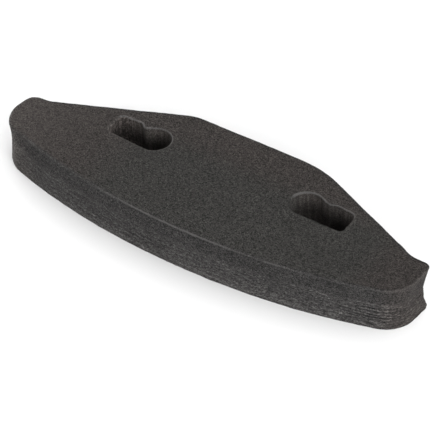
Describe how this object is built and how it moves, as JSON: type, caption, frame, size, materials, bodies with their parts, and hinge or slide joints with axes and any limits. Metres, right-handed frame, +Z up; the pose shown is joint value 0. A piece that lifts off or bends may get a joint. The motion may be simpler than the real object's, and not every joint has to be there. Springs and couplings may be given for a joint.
{
  "type": "foam bumper pad",
  "caption": "Crescent-shaped block of dark closed-cell foam with flared tips and two keyhole slots for posts, used as a soft front bumper on a small model car.",
  "frame": {"origin": "centre of the plan outline's box, on the underside", "axes": "+X along the length, tip to tip; -Y towards the convex front arc; +Z up through the thickness"},
  "size_m": [0.18, 0.0574, 0.0184],
  "materials": {
    "foam": "matte"
  },
  "bodies": {
    "root": {"foam_block": "foam"}
  },
  "joints": []
}
